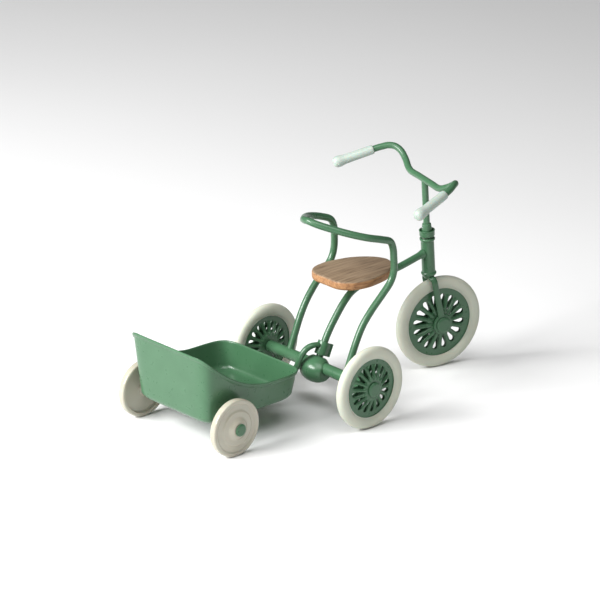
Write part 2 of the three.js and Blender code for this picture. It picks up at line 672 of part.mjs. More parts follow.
function addSteering() {
  assembly.add(head);
  piece('head_tube', headTube(), GREEN, head);
  piece('head_bush_lower', headBush(0.2), NYLON, head);
  piece('head_bush_upper', headBush(HEAD_LENGTH - 3.7), NYLON, head);
  const turning = new THREE.Group();
  turning.rotation.z = STEER;
  head.add(turning);
  piece('fork', fork(), GREEN, turning);
  piece('stem_rod', stemRod(), GREEN, turning);
  piece('collar_cup', collarCup(), GREEN, turning);
  piece('stem_cone', stemCone(), GREEN, turning);
  piece('stem_grub_screw', grubScrew(), STEEL, turning);
  const bar = new THREE.Group();
  bar.rotation.z = BAR_TURN;
  turning.add(bar);
  piece('handlebar', bentRod(handlebarPath(), BAR, 56), GREEN, bar);
  piece('left_grip', grip(1), GRIP, bar);
  piece('right_grip', grip(-1), GRIP, bar);
  const outside = LEG_IN + LEG_THICK;
  const axle = piece('front_axle', crossBar(AXLE, 2 * outside), STEEL, turning);
  axle.position.set(0, -HUB_AHEAD, -HUB_DOWN);
  for (const [name, side] of [['left', 1], ['right', -1]]) {
    const cap = piece(`front_${name}_cap`, hubCap(3.9, 1.0), GREEN, turning);
    cap.position.set(side * (outside + GAP), -HUB_AHEAD, -HUB_DOWN);
    cap.rotation.y = (side * Math.PI) / 2;
  }
  const rolling = wheel('front', FRONT_RADIUS, FRONT_RIM);
  rolling.position.copy(axle.position);
  rolling.rotation.x = FRONT_SPIN;
  turning.add(rolling);
}

function addTrailer() {
  assembly.add(trailer);
  piece('trailer_tub', trailerTub(), GREEN, trailer);
  piece('drawbar', drawbar(), GREEN, trailer);
  piece('hitch_clip', hitchClip(), GREEN, trailer);
  piece('trailer_axle', trailerAxle(), STEEL, trailer).position.z = TRAILER_AXLE.z;
  for (const [name, side] of [['left', 1], ['right', -1]]) {
    const rolling = piece(`trailer_${name}_wheel`, trailerWheel(), CREAM, trailer);
    rolling.position.set(side * TRAILER_HALF_TRACK, 0, TRAILER_AXLE.z);
    rolling.rotation.y = (side * Math.PI) / 2;
    const cap = piece(`trailer_${name}_cap`, hubCap(3.0, 0.9), GREEN, trailer);
    cap.position.set(side * (TRAILER_HALF_TRACK + TRAILER_WHEEL_HALF + 2.1 + GAP), 0, TRAILER_AXLE.z);
    cap.rotation.y = (side * Math.PI) / 2;
  }
}

addRearFrame();
addSteering();
addTrailer();

// The origin is under the middle of the whole, on the floor.
object.updateMatrixWorld(true);
const bounds = new THREE.Box3().setFromObject(object, true);
const middle = bounds.getCenter(new THREE.Vector3());
assembly.position.set(-middle.x, -middle.y, -bounds.min.z);

export default object;
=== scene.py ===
"""A doll's tricycle with a clip-on trailer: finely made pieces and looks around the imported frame."""

import math

import bmesh
import bpy
import numpy as np
from mathutils import Matrix, Vector


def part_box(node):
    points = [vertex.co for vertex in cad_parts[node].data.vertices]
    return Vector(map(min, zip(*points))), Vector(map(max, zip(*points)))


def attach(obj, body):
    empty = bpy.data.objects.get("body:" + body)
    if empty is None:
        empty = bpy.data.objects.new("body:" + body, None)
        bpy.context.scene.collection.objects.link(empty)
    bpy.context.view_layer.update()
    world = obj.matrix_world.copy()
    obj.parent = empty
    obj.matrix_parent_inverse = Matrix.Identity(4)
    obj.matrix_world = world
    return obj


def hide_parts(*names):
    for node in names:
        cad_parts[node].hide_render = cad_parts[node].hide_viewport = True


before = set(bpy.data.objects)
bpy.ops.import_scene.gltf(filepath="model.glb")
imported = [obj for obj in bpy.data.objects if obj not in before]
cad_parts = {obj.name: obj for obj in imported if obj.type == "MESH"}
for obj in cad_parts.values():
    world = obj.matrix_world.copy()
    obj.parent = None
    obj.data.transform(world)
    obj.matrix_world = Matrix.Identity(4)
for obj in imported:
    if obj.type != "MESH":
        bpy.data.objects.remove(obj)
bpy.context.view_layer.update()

# ---------------------------------------------------------------- dimensions
# Lengths are in millimetres and angles in radians, except where a comment says otherwise.
# Round pieces give their radius. GAP is the clearance between neighbouring pieces.
MM = 0.001
GAP = 0.3
ROD = 1.72
BAR = 1.62
AXLE_Z = 20.0  # also the rear wheels' radius
HALF_TRACK = 37.0
AXLE_TUBE = 2.8
AXLE = 1.2
BORE = 1.5

HEAD_FOOT = (0, -72.2, 49.04)
RAKE = math.radians(5.0)
STEER = math.radians(-12.3)
HEAD_LENGTH = 19.3
HEAD_BORE = 2.5
BUSH_LENGTH = 3.5
FRONT_RADIUS = 23.4
HUB_AHEAD = 3.94
HUB_DOWN = 26.08
STEM_TOP = 49.15
BAR_TURN = math.radians(-2.0)
GRIP_START = Vector((35.2, 8.6, 55.3))
GRIP_ALONG = Vector((5.8, 17.9, -4.7)).normalized()
GRIP_BORE_DEPTH = 19.1
LEG_IN = 3.75
LEG_THICK = 1.6
LEG_WIDTH_HALF = 0.95
CROWN_UNDER = 0.45
EYE = 5.0

REAR_RIM = 14.3
FRONT_RIM = 17.4
TYRE_HALF = 2.55
PLATE = 0.45
PLATE_FACE = 0.9
PLATE_DISH = 2.25
PLATE_LAP = 0.8
HUB = 4.9
SLOTS = 16
# Shares of the rim's radius: where the slots begin and end, and half their width.
SLOT_FROM = 0.42
SLOT_TO = 0.83
SLOT_HALF = 0.075
SLOT_ROUNDING = 1.1  # length of a slot's rounded outer end, in half-widths
PLEAT = 0.95
REAR_SPIN = math.radians(-4.0)
FRONT_SPIN = math.radians(-10.5)

SEAT_TOP = 63.4
SEAT_THICK = 4.3
SEAT_EDGE = 1.1
BRACKET_Y = -30.0
BRACKET_TOP = 58.8
BRACKET_HALF_WIDTH = 7.5
BRACKET_HALF_LENGTH = 6.0
BRACKET_SHEET = 0.8
BRACKET_DEPTH = 5.4
SCREW_OUT = 5.2

LEAN = math.radians(25.0)
HOUSING_HALF = 7.3
HOUSING_STRETCH = 1.35  # width along the axle, times that of a round body
HITCH_UP = 8.6
CLIP_IN = 2.55
CLIP_SHEET = 0.6
CLIP_HEIGHT = 6.4
CLIP_TURN = math.radians(22.0)
CLIP_WRAP = 104  # degrees to each side of the clip's back

TRAILER_AXLE = Vector((10.2, 70.5, 13.8))
TRAILER_YAW = math.radians(1.24)
TRAILER_TRACK = 32.3
TRAILER_WHEEL = 13.8
TRAILER_WHEEL_HALF = 1.76
TRAILER_HUB = 2.1
DRAWBAR = 1.5
TUB_SHEET = 0.8
TUB_FLOOR = 14.0
TUB_LOW_RIM = 28.3
TUB_HIGH_RIM = 47.9
TUB_RAMP_START = -26.4
TUB_RAMP_RUN = 39.9
TUB_RAMP_POWER = 1.96  # exponent of the rim's rise
TUB_MIDDLE = -18.3
TUB_WIDE = 28.3
TUB_REAR = 32.0
TUB_FRONT = 29.5
# Exponents of the outline's superellipse: the higher, the squarer its corners.
TUB_REAR_SQUARE = 9.8
TUB_FRONT_SQUARE = 7.6
TUB_ROUND = 3.8
TUB_LEAN = (2.5, 3.7, 1.7)  # how far side, rear and front walls lean in from rim to floor
TUB_BEAD = 0.46
AXLE_ROOM = 1.2

# ---------------------------------------------------------------- places
tube_low, tube_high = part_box("axle_tube")
CENTRE = (tube_low + tube_high) / 2
TRIKE = Matrix.Translation((CENTRE.x, CENTRE.y, 0)) @ Matrix.Scale(MM, 4)
HEAD = TRIKE @ Matrix.Translation(HEAD_FOOT) @ Matrix.Rotation(-RAKE, 4, "X")
STEERED = HEAD @ Matrix.Rotation(STEER, 4, "Z")
BAR_PLACE = STEERED @ Matrix.Rotation(BAR_TURN, 4, "Z")
TRAILER_FOOT = TRIKE @ Matrix.Translation((TRAILER_AXLE.x, TRAILER_AXLE.y, 0))
TRAILER = TRAILER_FOOT @ Matrix.Rotation(TRAILER_YAW, 4, "Z")
TO_LEFT = Matrix.Rotation(math.pi / 2, 4, "Y")
TO_RIGHT = Matrix.Rotation(-math.pi / 2, 4, "Y")
SIDES = (("left", 1, TO_LEFT), ("right", -1, TO_RIGHT))


def at(x, y, z):
    return Matrix.Translation((x, y, z))


# ---------------------------------------------------------------- looks
class Look:
    """A node-based material in the making; coordinates are the object's own, in metres."""

    def __init__(self, name):
        self.material = bpy.data.materials.new(name)
        self.material.use_nodes = True
        self.nodes = self.material.node_tree.nodes
        self.links = self.material.node_tree.links
        self.surface = self.nodes["Principled BSDF"]
        self.place = self.nodes.new("ShaderNodeTexCoord").outputs["Object"]

    def set(self, **values):
        for name, value in values.items():
            self.surface.inputs[name.replace("_", " ")].default_value = value

    def join(self, output, name):
        self.links.new(output, self.surface.inputs[name])

    def stretched(self, scale):
        node = self.nodes.new("ShaderNodeMapping")
        node.inputs["Scale"].default_value = scale
        self.links.new(self.place, node.inputs["Vector"])
        return node.outputs["Vector"]

    def noise(self, scale, detail, rough=0.5, warp=0.0, place=None):
        node = self.nodes.new("ShaderNodeTexNoise")
        node.inputs["Scale"].default_value = scale
        node.inputs["Detail"].default_value = detail
        node.inputs["Roughness"].default_value = rough
        node.inputs["Distortion"].default_value = warp
        self.links.new(place or self.place, node.inputs["Vector"])
        return node.outputs["Fac"]

    def ramp(self, output, stops):
        """Colours picked by a value from (position, colour) stops."""
        node = self.nodes.new("ShaderNodeValToRGB")
        elements = node.color_ramp.elements
        while len(elements) < len(stops):
            elements.new(0.5)
        for element, (position, colour) in zip(elements, stops):
            element.position = position
            element.color = (*colour, 1.0)
        self.links.new(output, node.inputs["Fac"])
        return node.outputs["Color"]

    def spread(self, output, low, high):
        """A value of 0 to 1 spread over low to high."""
        node = self.nodes.new("ShaderNodeMapRange")
        node.inputs["To Min"].default_value = low
        node.inputs["To Max"].default_value = high
        self.links.new(output, node.inputs["Value"])
        return node.outputs["Result"]

    def mix(self, share, first, second, mode="MIX"):
        node = self.nodes.new("ShaderNodeMix")
        node.data_type = "RGBA"
        node.blend_type = mode
        for value, slot in ((share, 0), (first, 6), (second, 7)):
            if isinstance(value, (int, float)):
                node.inputs[slot].default_value = value
            elif isinstance(value, tuple):
                node.inputs[slot].default_value = (*value, 1.0)
            else:
                self.links.new(value, node.inputs[slot])
        return node.outputs[2]

    def bump(self, output, depth, strength, under=None):
        node = self.nodes.new("ShaderNodeBump")
        node.inputs["Distance"].default_value = depth
        node.inputs["Strength"].default_value = strength
        self.links.new(output, node.inputs["Height"])
        if under is not None:
            self.links.new(under, node.inputs["Normal"])
        self.links.new(node.outputs["Normal"], self.surface.inputs["Normal"])
        return node.outputs["Normal"]


def green_paint():
    look = Look("green_paint")
    cloud = look.noise(90, 4)
    tone = look.ramp(cloud, [(0.3, (0.045, 0.124, 0.060)), (0.7, (0.054, 0.140, 0.070))])
    look.join(tone, "Base Color")
    look.join(look.spread(look.noise(420, 2), 0.24, 0.34), "Roughness")
    look.set(Coat_Weight=0.15, Coat_Roughness=0.08, Specular_IOR_Level=0.4)
    look.bump(look.noise(200, 1, 0.3), 0.00003, 0.2)
    return look.material


def tyre_rubber():
    look = Look("tyre_rubber")
    cloud = look.noise(70, 5, 0.6)
    tone = look.ramp(cloud, [(0.3, (0.50, 0.52, 0.43)), (0.7, (0.55, 0.57, 0.475))])
    look.join(tone, "Base Color")
    look.join(look.spread(look.noise(900, 3), 0.5, 0.64), "Roughness")
    look.set(Subsurface_Weight=0.12, Subsurface_Scale=0.0012, Specular_IOR_Level=0.4)
    skin = look.bump(look.noise(2600, 3, 0.6), 0.00003, 0.5)
    look.bump(look.noise(240, 2), 0.0001, 0.25, skin)
    return look.material


def grip_plastic():
    look = Look("grip_plastic")
    cloud = look.noise(160, 4, 0.6)
    tone = look.ramp(cloud, [(0.3, (0.36, 0.425, 0.38)), (0.7, (0.40, 0.465, 0.415))])
    look.join(tone, "Base Color")
    look.join(look.spread(look.noise(700, 3), 0.36, 0.48), "Roughness")
    look.set(Subsurface_Weight=0.18, Subsurface_Scale=0.0015, Specular_IOR_Level=0.45)
    look.bump(look.noise(1800, 3, 0.55), 0.00004, 0.45)
    return look.material


def seat_wood():
    look = Look("seat_wood")
    fibre = look.noise(1.0, 8, 0.62, 0.4, look.stretched((900, 55, 900)))
    broad = look.noise(1.0, 3, 0.5, 0.8, look.stretched((230, 17, 300)))
    stops = [(0.3, (0.12, 0.08, 0.05)), (0.48, (0.24, 0.17, 0.11)), (0.72, (0.33, 0.245, 0.16))]
    pale = look.ramp(fibre, stops)
    dark = look.ramp(broad, [(0.3, (0.72, 0.66, 0.60)), (0.6, (1.0, 1.0, 1.0))])
    height = look.nodes.new("ShaderNodeSeparateXYZ")
    look.links.new(look.place, height.inputs["Vector"])
    side = look.nodes.new("ShaderNodeMapRange")
    side.inputs["From Min"].default_value = (SEAT_TOP - 0.25) * MM
    side.inputs["From Max"].default_value = (SEAT_TOP - 0.8) * MM
    look.links.new(height.outputs["Z"], side.inputs["Value"])
    # Painted light on the board's sides: below the top face the colour is multiplied by (1.5, 1.08, 0.74),
    # which makes the sides a warmer wood tone and also lighter than the top.
    warm_tone_and_painted_light = look.mix(side.outputs["Result"], (1.0, 1.0, 1.0), (1.5, 1.08, 0.74))
    grained = look.mix(0.75, pale, dark, "MULTIPLY")
    look.join(look.mix(1.0, grained, warm_tone_and_painted_light, "MULTIPLY"), "Base Color")
    look.join(look.spread(fibre, 0.62, 0.48), "Roughness")
    look.set(Specular_IOR_Level=0.35)
    grain = look.bump(fibre, 0.00016, 0.55)
    look.bump(look.noise(500, 2), 0.00006, 0.3, grain)
    return look.material


def cream_plastic():
    look = Look("cream_plastic")
    cloud = look.noise(80, 4)
    tone = look.ramp(cloud, [(0.3, (0.41, 0.39, 0.312)), (0.7, (0.45, 0.428, 0.345))])
    look.join(tone, "Base Color")
    look.join(look.spread(look.noise(500, 2), 0.14, 0.22), "Roughness")
    look.set(Coat_Weight=0.3, Coat_Roughness=0.06, Subsurface_Weight=0.08, Subsurface_Scale=0.001)
    look.bump(look.noise(320, 2, 0.4), 0.00005, 0.3)
    return look.material


def bright_steel():
    look = Look("bright_steel")
    lines = look.noise(1.0, 4, 0.6, 0.0, look.stretched((200, 6000, 6000)))
    tone = look.ramp(lines, [(0.3, (0.50, 0.51, 0.52)), (0.7, (0.62, 0.63, 0.64))])
    look.join(tone, "Base Color")
    look.join(look.spread(lines, 0.25, 0.4), "Roughness")
    look.set(Metallic=1.0)
    look.bump(lines, 0.00001, 0.4)
    return look.material


def white_nylon():
    look = Look("white_nylon")
    tone = look.ramp(look.noise(300, 3), [(0.3, (0.70, 0.68, 0.62)), (0.7, (0.76, 0.74, 0.68))])
    look.join(tone, "Base Color")
    look.join(look.spread(look.noise(900, 2), 0.45, 0.6), "Roughness")
    look.bump(look.noise(2200, 2), 0.00003, 0.3)
    return look.material


MAKERS = (green_paint, tyre_rubber, grip_plastic, seat_wood, cream_plastic, bright_steel, white_nylon)
LOOKS = {make.__name__: make() for make in MAKERS}


# ---------------------------------------------------------------- mesh helpers
def add_piece(name, shape, place, look, body, nodes, crease=38.0):
    """A finished piece from (points in millimetres, faces), standing for the named CAD nodes."""
    points, faces = shape
    mesh = bpy.data.meshes.new(name)
    mesh.from_pydata([tuple(point) for point in points], [], faces)
    mesh.transform(place)
    edit = bmesh.new()
    edit.from_mesh(mesh)
    bmesh.ops.remove_doubles(edit, verts=edit.verts, dist=0.002 * MM)
    bmesh.ops.dissolve_degenerate(edit, edges=edit.edges, dist=0.0005 * MM)
    bmesh.ops.recalc_face_normals(edit, faces=edit.faces)
    edit.to_mesh(mesh)
    edit.free()
    mesh.materials.append(LOOKS[look])
    mesh.shade_smooth()
    mesh.set_sharp_from_angle(angle=math.radians(crease))
    piece = bpy.data.objects.new(name, mesh)
    bpy.context.scene.collection.objects.link(piece)
    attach(piece, body)
    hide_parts(*nodes)


def closed_rings(rings, count):
    """Faces of a body made of rings of points, one after another, with its two ends closed."""
    faces = []
    for r in range(rings - 1):
        for k in range(count):
            n = (k + 1) % count
            faces.append((r * count + k, r * count + n, (r + 1) * count + n, (r + 1) * count + k))
    faces.append(tuple(range(count)))
    faces.append(tuple(range((rings - 1) * count, rings * count)))
    return faces


def together(*shapes):
    """Several shapes as one list of points and faces."""
    points, faces = [], []
    for some_points, some_faces in shapes:
        start = len(points)
        points.extend(some_points)
        faces.extend([tuple(i + start for i in face) for face in some_faces])
    return points, faces


def moved(shape, matrix):
    points, faces = shape
    return [matrix @ Vector(point) for point in points], faces


def rounded(corners, radius, steps=4, closed=False):
    """A line of [a, b] or [a, b, own radius] corners, with each corner rounded off."""
    count = len(corners)
    line = []
    for i, corner in enumerate(corners):
        here = np.array(corner[:2], float)
        reach = corner[2] if len(corner) > 2 else radius
        if not closed and i in (0, count - 1) or reach <= 0:
            line.append(here)
            continue
        before = np.array(corners[i - 1][:2], float) - here
        after = np.array(corners[(i + 1) % count][:2], float) - here
        cut = min(reach, 0.48 * np.linalg.norm(before), 0.48 * np.linalg.norm(after))
        start = here + before / np.linalg.norm(before) * cut
        end = here + after / np.linalg.norm(after) * cut
        for step in range(steps + 1):
            t = step / steps
            line.append((1 - t) ** 2 * start + 2 * t * (1 - t) * here + t * t * end)
    return line


def lathe(profile, around=96, closed=False):
    """A body turned about Z from [radius, height] pairs; closed profiles leave a bore."""
    points, faces, rings = [], [], []
    for radius, height in profile:
        if radius < 1e-6:
            rings.append([len(points)] * around)
            points.append((0.0, 0.0, height))
            continue
        rings.append(list(range(len(points), len(points) + around)))
        for i in range(around):
            angle = 2 * math.pi * i / around
            points.append((radius * math.cos(angle), radius * math.sin(angle), height))
    pairs = list(zip(rings, rings[1:]))
    if closed:
        pairs.append((rings[-1], rings[0]))
    for low, high in pairs:
        for i in range(around):
            k = (i + 1) % around
            face = list(dict.fromkeys((low[i], low[k], high[k], high[i])))
            if len(face) > 2:
                faces.append(tuple(face))
    return points, faces


def turned(corners, radius=0.12, around=96):
    return lathe(rounded(corners, radius), around)


def ring(corners, radius=0.12, around=96):
    return lathe(rounded(corners, radius, closed=True), around, closed=True)


def curve_through(points, count, closed=False):
    """Evenly spaced points on the centripetal curve through the given ones."""
    points = [np.array(point, float) for point in points]
    if closed:
        chain = [points[-1], *points, points[0], points[1]]
    else:
        chain = [2 * points[0] - points[1], *points, 2 * points[-1] - points[-2]]
    dense = []
    for p0, p1, p2, p3 in zip(chain, chain[1:], chain[2:], chain[3:]):
        d0, d1, d2 = (math.sqrt(np.linalg.norm(b - a)) for a, b in ((p0, p1), (p1, p2), (p2, p3)))
        m1 = ((p1 - p0) / d0 - (p2 - p0) / (d0 + d1) + (p2 - p1) / d1) * d1
        m2 = ((p2 - p1) / d1 - (p3 - p1) / (d1 + d2) + (p3 - p2) / d2) * d1
        for t in np.linspace(0, 1, 24, endpoint=False):
            dense.append(
                (2 * t**3 - 3 * t**2 + 1) * p1 + (t**3 - 2 * t**2 + t) * m1
                + (3 * t**2 - 2 * t**3) * p2 + (t**3 - t**2) * m2
            )
    dense.append(points[0] if closed else points[-1])
    dense = np.array(dense)
    reach = np.concatenate([[0], np.cumsum(np.linalg.norm(np.diff(dense, axis=0), axis=1))])
    wanted = np.linspace(0, reach[-1], count, endpoint=not closed)
    return np.stack([np.interp(wanted, reach, dense[:, k]) for k in range(dense.shape[1])], axis=1)


def swept(line, section, ends=0.25, first_side=(0, 0, 1)):
    """A bar along a line. section(share) gives half-widths (side, up) at that share of its length."""
    line = np.array(line, float)
    tangents = unit_rows(np.gradient(line, axis=0))
    up = np.array(first_side, float)
    stations = []
    last = len(line) - 1
    for i, (spot, tangent) in enumerate(zip(line, tangents)):
        up = up - tangent * (up @ tangent)
        up /= np.linalg.norm(up)
        wide, high = section(i / last)
        stations.append((spot, tangent, up, wide, high))
    start = [end_station(stations[0], ends, turn, 1) for turn in (0, 30, 60)]
    finish = [end_station(stations[-1], ends, turn, -1) for turn in (60, 30, 0)]
    inside = [one for one in stations if clear_of_end(one, stations[0], ends, 1)]
    inside = [one for one in inside if clear_of_end(one, stations[-1], ends, -1)]
    around = 32
    points = []
    for spot, tangent, lift, wide, high in [*start, *inside, *finish]:
        side = np.cross(tangent, lift)
        for k in range(around):
            angle = 2 * math.pi * k / around
            points.append(tuple(spot + side * wide * math.cos(angle) + lift * high * math.sin(angle)))
    return points, closed_rings(len(points) // around, around)


def end_station(station, ends, degrees, way):
    """One step of a bar's rounded end; way is 1 at its start and -1 at its finish."""
    spot, tangent, lift, wide, high = station
    turn = math.radians(degrees)
    cut = ends * (1 - math.sin(turn))
    return spot + tangent * way * ends * (1 - math.cos(turn)), tangent, lift, wide - cut, high - cut


def clear_of_end(station, end, ends, way):
    """Whether a station is past the rounding of a bar's end."""
    apart = station[0] - end[0]
    return way * (apart @ end[1]) > ends or np.linalg.norm(apart) > 3 * ends


def rod(points, radius, count):
    return swept(curve_through(points, count), lambda share: (radius, radius))


def unit_rows(rows):
    return rows / np.linalg.norm(rows, axis=1)[:, None]


def prism(outline, low, high, bevel):
    """An outline in X and Y, raised from low to high, with edges rounded by bevel."""
    outline = np.array(outline, float)
    ahead = np.roll(outline, -1, axis=0) - outline
    behind = outline - np.roll(outline, 1, axis=0)
    following = np.roll(outline, -1, axis=0)
    area = np.sum(outline[:, 0] * following[:, 1] - following[:, 0] * outline[:, 1])
    along = unit_rows(ahead) + unit_rows(behind)
    normals = unit_rows(np.stack([along[:, 1], -along[:, 0]], axis=1) * math.copysign(1, area))
    levels = []
    for a in (0, math.pi / 6, math.pi / 3, math.pi / 2):
        levels.append((bevel * (1 - math.sin(a)), low + bevel * (1 - math.cos(a))))
    for a in (math.pi / 2, math.pi / 3, math.pi / 6, 0):
        levels.append((bevel * (1 - math.sin(a)), high - bevel * (1 - math.cos(a))))
    points = []
    for inset, height in levels:
        points.extend((*xy, height) for xy in outline - normals * inset)
    return points, closed_rings(len(levels), len(outline))


def mirrored(points):
    """The points on the other side of X = 0, the last one first."""
    return [(-x, *rest) for x, *rest in points[::-1]]


def flipped(half):
    """The [radius, height] pairs with their heights negated, the last one first."""
    return [(radius, -height) for radius, height in half[::-1]]


def combined(first, second, operation):
    """One closed shape made of two closed shapes by UNION, DIFFERENCE or INTERSECT."""
    bodies = []
    for points, faces in (first, second):
        mesh = bpy.data.meshes.new("part")
        mesh.from_pydata([tuple(point) for point in points], [], faces)
        edit = bmesh.new()
        edit.from_mesh(mesh)
        bmesh.ops.remove_doubles(edit, verts=edit.verts, dist=0.0005)
        bmesh.ops.recalc_face_normals(edit, faces=edit.faces)
        edit.to_mesh(mesh)
        edit.free()
        body = bpy.data.objects.new("part", mesh)
        bpy.context.scene.collection.objects.link(body)
        bodies.append(body)
    modifier = bodies[0].modifiers.new("join", "BOOLEAN")
    modifier.object = bodies[1]
    modifier.operation = operation
    modifier.solver = "EXACT"
    done = bodies[0].evaluated_get(bpy.context.evaluated_depsgraph_get())
    result = done.to_mesh()
    points = [vertex.co.copy() for vertex in result.vertices]
    faces = [tuple(face.vertices) for face in result.polygons]
    done.to_mesh_clear()
    for body in bodies:
        mesh = body.data
        bpy.data.objects.remove(body)
        bpy.data.meshes.remove(mesh)
    return points, faces


def cross_bar(radius, half):
    """A plain round bar along X, centred on the origin."""
    return moved(lathe([(0, -half), (radius, -half), (radius, half), (0, half)]), TO_LEFT)


def up_housing(distance):
    """A point on the leaning line that the housing and the middle tube's foot share."""
    return (0.0, -math.sin(LEAN) * distance, AXLE_Z + math.cos(LEAN) * distance)


# ---------------------------------------------------------------- rear frame
def add_rear_frame():
    middle = TRIKE @ at(0, 0, AXLE_Z)
    half = HALF_TRACK - PLATE_FACE - PLATE_DISH - GAP
    wall = [(BORE, -half), (AXLE_TUBE, -half, 0.3), (AXLE_TUBE, half, 0.3), (BORE, half)]
    add_piece("axle_sleeve", ring(wall), middle @ TO_LEFT, "green_paint", "frame", ["axle_tube"])

    pear = [
        (0, -8.2), (2.9, -7.75, 1.5), (5.2, -6.0, 1.5), (6.3, -3.8, 1.5), (6.6, -1.8, 1.2),
        (6.3, -0.2, 1.2), (5.6, 1.3, 1.2), (4.7, 2.5, 1.0), (3.7, 3.6, 0.8), (2.7, 4.4, 0.5), (0, 4.5),
    ]
    points, faces = turned(pear, around=128)
    points = [(min(max(HOUSING_STRETCH * x, -HOUSING_HALF), HOUSING_HALF), y, z) for x, y, z in points]
    casting = combined((points, faces), cross_bar(AXLE_TUBE + 0.2, 20), "DIFFERENCE")
    leaning = middle @ Matrix.Rotation(LEAN, 4, "X")
    add_piece("housing_casting", casting, leaning, "green_paint", "frame", ["axle_housing"], 60)

    spine = [
        up_housing(4.4), up_housing(9), up_housing(14), (0, -8.5, 37.0), (0, -11.8, 41.6),
        (0, -16.8, 47.7), (0, -21.3, 51.6), (0, -27.5, 54.0), (0, -38, 55.6), (0, -52, 57.2),
        (0, -68.0, 60.4),
    ]
    tube = swept(curve_through(spine, 200), flared_at_head)
    add_piece("middle_tube", tube, TRIKE, "green_paint", "frame", ["frame_tube"])

    half = [
        (20.0, -0.4, 20.4), (20.0, -2.4, 25.4), (20.0, -4.2, 30.0), (20.1, -6.7, 36.1),
        (20.2, -10.5, 43.3), (20.5, -15.7, 49.8), (20.8, -22.6, 56.6), (20.9, -27.3, 61.6),
        (21.0, -29.1, 66.6), (20.8, -29.1, 73.0), (20.7, -28.6, 77.8), (20.9, -26.6, 81.6),
        (21.6, -20.6, 84.2), (20.4, -12.8, 86.5), (16.2, -6.2, 88.5), (9.6, 0.5, 90.9), (4.4, 5.0, 92.8),
    ]
    loop = [*half, (0, 6.5, 93.7), *mirrored(half)]
    add_piece("leg_and_hoop_rod", rod(loop, ROD, 460), TRIKE, "green_paint", "frame", ["seat_loop"])

    axle = axle_rod(HALF_TRACK + PLATE_FACE + PLATE_DISH)
    add_piece("rear_axle_rod", axle, middle @ TO_LEFT, "bright_steel", "frame", ["rear_axle"])


def flared_at_head(share):
    """The middle tube's half-widths, which grow where it meets the head tube."""
    radius = ROD + 0.5 * max(0.0, (share - 0.955) / 0.045) ** 2
    return radius, radius


def axle_rod(half):
    return turned([(0, -half), (AXLE, -half), (AXLE, half), (0, half)], 0.2, 48)


# ---------------------------------------------------------------- seat
def seat_outline():
    half = [
        (8.7, -4.9), (14.0, -9.3), (16.1, -17.5), (15.3, -25.5), (13.5, -32.5), (10.3, -38.0), (5.9, -42.6),
    ]
    loop = [(0, -4.4), *half, (0, -44.8), *mirrored(half)]
    return curve_through(loop, 260, closed=True)


def add_seat():
    board = prism(seat_outline(), SEAT_TOP - SEAT_THICK, SEAT_TOP, SEAT_EDGE)
    add_piece("seat_plank", board, TRIKE, "seat_wood", "frame", ["seat_board"], 50)

    inside = ROD + GAP
    outside = inside + BRACKET_SHEET
    half = [
        (-BRACKET_HALF_WIDTH, 0), (-BRACKET_HALF_WIDTH, -BRACKET_SHEET), (-outside, -BRACKET_SHEET, 0.3),
        (-outside, -BRACKET_DEPTH), (-inside, -BRACKET_DEPTH), (-inside, -BRACKET_SHEET, 0.2),
    ]
    section = rounded([*half, *mirrored(half)], 0.12, 3, closed=True)
    channel = prism(section, -BRACKET_HALF_LENGTH, BRACKET_HALF_LENGTH, 0.12)
    lengthways = TRIKE @ at(0, BRACKET_Y, BRACKET_TOP) @ Matrix.Rotation(math.pi / 2, 4, "X")
    add_piece("seat_channel", channel, lengthways, "green_paint", "frame", ["seat_bracket"])

    corners = [(0, -1.0), (1.1, -0.9, 0.4), (1.5, -0.4, 0.3), (1.5, 0), (0.7, 0), (0.7, 3.6), (0, 4.3)]
    screw = turned(corners, 0.08, 48)
    for name, side, _ in SIDES:
        place = TRIKE @ at(side * SCREW_OUT, BRACKET_Y, BRACKET_TOP - BRACKET_SHEET - GAP)
        add_piece(f"board_screw_{name}", screw, place, "bright_steel", "frame", [f"seat_screw_{name}"])


# ---------------------------------------------------------------- wheels
def tyre_shape(radius, rim):
    """A round bead about Z with a groove inside for the plates and a faint seam on its crown."""
    middle = (radius + rim) / 2
    tall = radius - middle
    bead = []
    for step in range(31):
        angle = math.radians(-58 + step * (148 / 30))
        wide = math.copysign(abs(math.cos(angle)) ** 0.9, math.cos(angle))
        bead.append((middle + tall * math.sin(angle), TYRE_HALF * wide))
    crown = bead[:-2] + [(radius - 0.04, 0.32), (radius - 0.03, 0.16), (radius, 0.06)]
    groove = PLATE_FACE + GAP
    half = [
        (rim + PLATE_LAP + GAP, groove), (rim + 0.12, groove), (rim, groove + 0.06),
        (rim, groove + 0.12), *crown,
    ]
    return lathe([*half, *flipped(half)], 160, closed=True)


def slot_half_width(reach, inner, outer, wide):
    """Half the width of a teardrop slot at a radius; nothing outside the slot."""
    shoulder = outer - wide * SLOT_ROUNDING
    if not inner < reach < outer:
        return 0.0
    if reach > shoulder:
        return wide * math.sqrt(max(0.0, 1 - ((reach - shoulder) / (outer - shoulder)) ** 2))
    grown = 0.34 + 0.66 * ((reach - inner) / (shoulder - inner)) ** 1.1
    return wide * grown * min(1.0, math.sqrt((reach - inner) / 0.35))


